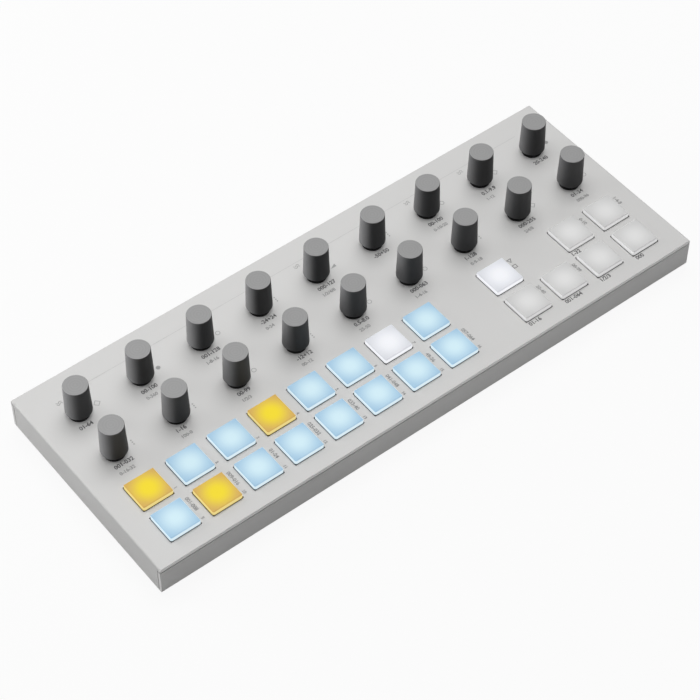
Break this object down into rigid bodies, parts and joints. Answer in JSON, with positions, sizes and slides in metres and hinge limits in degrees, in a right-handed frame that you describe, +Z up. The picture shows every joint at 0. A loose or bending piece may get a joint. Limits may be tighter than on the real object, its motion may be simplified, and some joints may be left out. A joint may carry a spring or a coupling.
{
  "type": "step sequencer",
  "caption": "Flat desktop music sequencer in a folded silver case, with rows of plain dark endless knobs, lit square step keys and function keys.",
  "frame": {"origin": "middle of the footprint, on the surface that the feet stand on", "axes": "+X to the right along the case, +Y to the rear, +Z up out of the panel"},
  "size_m": [0.37, 0.14, 0.0462],
  "materials": {
    "anodised_sheet": "bead-blasted, clear anodised",
    "knob_plastic": "soft-touch matt",
    "key_blue": "translucent, lit from below in blue",
    "key_yellow": "translucent, lit from below in yellow",
    "key_white": "translucent, lit from below in white",
    "key_unlit": "translucent, unlit",
    "foot_rubber": "matt",
    "board_laminate": "solder mask",
    "black_plastic": "moulded",
    "steel": "plated",
    "black_steel": "blackened",
    "brass": "plain",
    "lamp_white": "clear moulding"
  },
  "bodies": {
    "case": {"top_cover": "anodised_sheet", "bottom_tray": "anodised_sheet", "rubber_feet": "foot_rubber", "main_board": "board_laminate", "processor_chip": "black_plastic", "board_standoffs": "brass", "board_screws": "steel", "case_screws": "black_steel", "encoder_housings": "black_plastic", "encoder_bushings": "steel", "encoder_washers": "black_steel", "encoder_nuts": "black_steel", "switch_housings": "black_plastic", "switch_contacts": "brass", "key_lamps": "lamp_white", "socket_bezel": "black_plastic", "jack_housings": "black_plastic", "usb_shell": "steel", "usb_tongue": "black_plastic"},
    "knob_rear_1": {"knob_rear_1": "knob_plastic"},
    "knob_rear_2": {"knob_rear_2": "knob_plastic"},
    "knob_rear_3": {"knob_rear_3": "knob_plastic"},
    "knob_rear_4": {"knob_rear_4": "knob_plastic"},
    "knob_rear_5": {"knob_rear_5": "knob_plastic"},
    "knob_rear_6": {"knob_rear_6": "knob_plastic"},
    "knob_rear_7": {"knob_rear_7": "knob_plastic"},
    "knob_rear_8": {"knob_rear_8": "knob_plastic"},
    "knob_rear_9": {"knob_rear_9": "knob_plastic"},
    "knob_front_1": {"knob_front_1": "knob_plastic"},
    "knob_front_2": {"knob_front_2": "knob_plastic"},
    "knob_front_3": {"knob_front_3": "knob_plastic"},
    "knob_front_4": {"knob_front_4": "knob_plastic"},
    "knob_front_5": {"knob_front_5": "knob_plastic"},
    "knob_front_6": {"knob_front_6": "knob_plastic"},
    "knob_front_7": {"knob_front_7": "knob_plastic"},
    "knob_front_8": {"knob_front_8": "knob_plastic"},
    "knob_front_9": {"knob_front_9": "knob_plastic"},
    "step_key_1": {"step_key_1": "key_yellow"},
    "step_key_2": {"step_key_2": "key_blue"},
    "step_key_3": {"step_key_3": "key_blue"},
    "step_key_4": {"step_key_4": "key_yellow"},
    "step_key_5": {"step_key_5": "key_blue"},
    "step_key_6": {"step_key_6": "key_blue"},
    "step_key_7": {"step_key_7": "key_white"},
    "step_key_8": {"step_key_8": "key_blue"},
    "step_key_9": {"step_key_9": "key_blue"},
    "step_key_10": {"step_key_10": "key_yellow"},
    "step_key_11": {"step_key_11": "key_blue"},
    "step_key_12": {"step_key_12": "key_blue"},
    "step_key_13": {"step_key_13": "key_blue"},
    "step_key_14": {"step_key_14": "key_blue"},
    "step_key_15": {"step_key_15": "key_blue"},
    "step_key_16": {"step_key_16": "key_blue"},
    "play_key": {"play_key": "key_white"},
    "function_key_1": {"function_key_1": "key_unlit"},
    "function_key_2": {"function_key_2": "key_unlit"},
    "function_key_3": {"function_key_3": "key_unlit"},
    "function_key_4": {"function_key_4": "key_unlit"},
    "function_key_5": {"function_key_5": "key_unlit"},
    "function_key_6": {"function_key_6": "key_unlit"}
  },
  "joints": [
    {"name": "knob_rear_1_turn", "type": "hinge", "parent": "case", "child": "knob_rear_1", "pos_m": [-0.1605, 0.04015, 0.022], "axis": [0, 0, 1], "continuous": true},
    {"name": "knob_rear_2_turn", "type": "hinge", "parent": "case", "child": "knob_rear_2", "pos_m": [-0.12037, 0.04015, 0.022], "axis": [0, 0, 1], "continuous": true},
    {"name": "knob_rear_3_turn", "type": "hinge", "parent": "case", "child": "knob_rear_3", "pos_m": [-0.08025, 0.04015, 0.022], "axis": [0, 0, 1], "continuous": true},
    {"name": "knob_rear_4_turn", "type": "hinge", "parent": "case", "child": "knob_rear_4", "pos_m": [-0.04013, 0.04015, 0.022], "axis": [0, 0, 1], "continuous": true},
    {"name": "knob_rear_5_turn", "type": "hinge", "parent": "case", "child": "knob_rear_5", "pos_m": [0, 0.04015, 0.022], "axis": [0, 0, 1], "continuous": true},
    {"name": "knob_rear_6_turn", "type": "hinge", "parent": "case", "child": "knob_rear_6", "pos_m": [0.04013, 0.04015, 0.022], "axis": [0, 0, 1], "continuous": true},
    {"name": "knob_rear_7_turn", "type": "hinge", "parent": "case", "child": "knob_rear_7", "pos_m": [0.08025, 0.04015, 0.022], "axis": [0, 0, 1], "continuous": true},
    {"name": "knob_rear_8_turn", "type": "hinge", "parent": "case", "child": "knob_rear_8", "pos_m": [0.12037, 0.04015, 0.022], "axis": [0, 0, 1], "continuous": true},
    {"name": "knob_rear_9_turn", "type": "hinge", "parent": "case", "child": "knob_rear_9", "pos_m": [0.1605, 0.04015, 0.022], "axis": [0, 0, 1], "continuous": true},
    {"name": "knob_front_1_turn", "type": "hinge", "parent": "case", "child": "knob_front_1", "pos_m": [-0.1605, 0.0065, 0.022], "axis": [0, 0, 1], "continuous": true},
    {"name": "knob_front_2_turn", "type": "hinge", "parent": "case", "child": "knob_front_2", "pos_m": [-0.12037, 0.0065, 0.022], "axis": [0, 0, 1], "continuous": true},
    {"name": "knob_front_3_turn", "type": "hinge", "parent": "case", "child": "knob_front_3", "pos_m": [-0.08025, 0.0065, 0.022], "axis": [0, 0, 1], "continuous": true},
    {"name": "knob_front_4_turn", "type": "hinge", "parent": "case", "child": "knob_front_4", "pos_m": [-0.04013, 0.0065, 0.022], "axis": [0, 0, 1], "continuous": true},
    {"name": "knob_front_5_turn", "type": "hinge", "parent": "case", "child": "knob_front_5", "pos_m": [0, 0.0065, 0.022], "axis": [0, 0, 1], "continuous": true},
    {"name": "knob_front_6_turn", "type": "hinge", "parent": "case", "child": "knob_front_6", "pos_m": [0.04013, 0.0065, 0.022], "axis": [0, 0, 1], "continuous": true},
    {"name": "knob_front_7_turn", "type": "hinge", "parent": "case", "child": "knob_front_7", "pos_m": [0.08025, 0.0065, 0.022], "axis": [0, 0, 1], "continuous": true},
    {"name": "knob_front_8_turn", "type": "hinge", "parent": "case", "child": "knob_front_8", "pos_m": [0.12037, 0.0065, 0.022], "axis": [0, 0, 1], "continuous": true},
    {"name": "knob_front_9_turn", "type": "hinge", "parent": "case", "child": "knob_front_9", "pos_m": [0.1605, 0.0065, 0.022], "axis": [0, 0, 1], "continuous": true},
    {"name": "step_key_1_press", "type": "slide", "parent": "case", "child": "step_key_1", "axis": [0, 0, -1], "range_m": [0, 0.001], "stiffness_N_per_m": 600, "springref_m": -0.0005},
    {"name": "step_key_2_press", "type": "slide", "parent": "case", "child": "step_key_2", "axis": [0, 0, -1], "range_m": [0, 0.001], "stiffness_N_per_m": 600, "springref_m": -0.0005},
    {"name": "step_key_3_press", "type": "slide", "parent": "case", "child": "step_key_3", "axis": [0, 0, -1], "range_m": [0, 0.001], "stiffness_N_per_m": 600, "springref_m": -0.0005},
    {"name": "step_key_4_press", "type": "slide", "parent": "case", "child": "step_key_4", "axis": [0, 0, -1], "range_m": [0, 0.001], "stiffness_N_per_m": 600, "springref_m": -0.0005},
    {"name": "step_key_5_press", "type": "slide", "parent": "case", "child": "step_key_5", "axis": [0, 0, -1], "range_m": [0, 0.001], "stiffness_N_per_m": 600, "springref_m": -0.0005},
    {"name": "step_key_6_press", "type": "slide", "parent": "case", "child": "step_key_6", "axis": [0, 0, -1], "range_m": [0, 0.001], "stiffness_N_per_m": 600, "springref_m": -0.0005},
    {"name": "step_key_7_press", "type": "slide", "parent": "case", "child": "step_key_7", "axis": [0, 0, -1], "range_m": [0, 0.001], "stiffness_N_per_m": 600, "springref_m": -0.0005},
    {"name": "step_key_8_press", "type": "slide", "parent": "case", "child": "step_key_8", "axis": [0, 0, -1], "range_m": [0, 0.001], "stiffness_N_per_m": 600, "springref_m": -0.0005},
    {"name": "step_key_9_press", "type": "slide", "parent": "case", "child": "step_key_9", "axis": [0, 0, -1], "range_m": [0, 0.001], "stiffness_N_per_m": 600, "springref_m": -0.0005},
    {"name": "step_key_10_press", "type": "slide", "parent": "case", "child": "step_key_10", "axis": [0, 0, -1], "range_m": [0, 0.001], "stiffness_N_per_m": 600, "springref_m": -0.0005},
    {"name": "step_key_11_press", "type": "slide", "parent": "case", "child": "step_key_11", "axis": [0, 0, -1], "range_m": [0, 0.001], "stiffness_N_per_m": 600, "springref_m": -0.0005},
    {"name": "step_key_12_press", "type": "slide", "parent": "case", "child": "step_key_12", "axis": [0, 0, -1], "range_m": [0, 0.001], "stiffness_N_per_m": 600, "springref_m": -0.0005},
    {"name": "step_key_13_press", "type": "slide", "parent": "case", "child": "step_key_13", "axis": [0, 0, -1], "range_m": [0, 0.001], "stiffness_N_per_m": 600, "springref_m": -0.0005},
    {"name": "step_key_14_press", "type": "slide", "parent": "case", "child": "step_key_14", "axis": [0, 0, -1], "range_m": [0, 0.001], "stiffness_N_per_m": 600, "springref_m": -0.0005},
    {"name": "step_key_15_press", "type": "slide", "parent": "case", "child": "step_key_15", "axis": [0, 0, -1], "range_m": [0, 0.001], "stiffness_N_per_m": 600, "springref_m": -0.0005},
    {"name": "step_key_16_press", "type": "slide", "parent": "case", "child": "step_key_16", "axis": [0, 0, -1], "range_m": [0, 0.001], "stiffness_N_per_m": 600, "springref_m": -0.0005},
    {"name": "play_key_press", "type": "slide", "parent": "case", "child": "play_key", "axis": [0, 0, -1], "range_m": [0, 0.001], "stiffness_N_per_m": 600, "springref_m": -0.0005},
    {"name": "function_key_1_press", "type": "slide", "parent": "case", "child": "function_key_1", "axis": [0, 0, -1], "range_m": [0, 0.001], "stiffness_N_per_m": 600, "springref_m": -0.0005},
    {"name": "function_key_2_press", "type": "slide", "parent": "case", "child": "function_key_2", "axis": [0, 0, -1], "range_m": [0, 0.001], "stiffness_N_per_m": 600, "springref_m": -0.0005},
    {"name": "function_key_3_press", "type": "slide", "parent": "case", "child": "function_key_3", "axis": [0, 0, -1], "range_m": [0, 0.001], "stiffness_N_per_m": 600, "springref_m": -0.0005},
    {"name": "function_key_4_press", "type": "slide", "parent": "case", "child": "function_key_4", "axis": [0, 0, -1], "range_m": [0, 0.001], "stiffness_N_per_m": 600, "springref_m": -0.0005},
    {"name": "function_key_5_press", "type": "slide", "parent": "case", "child": "function_key_5", "axis": [0, 0, -1], "range_m": [0, 0.001], "stiffness_N_per_m": 600, "springref_m": -0.0005},
    {"name": "function_key_6_press", "type": "slide", "parent": "case", "child": "function_key_6", "axis": [0, 0, -1], "range_m": [0, 0.001], "stiffness_N_per_m": 600, "springref_m": -0.0005}
  ]
}
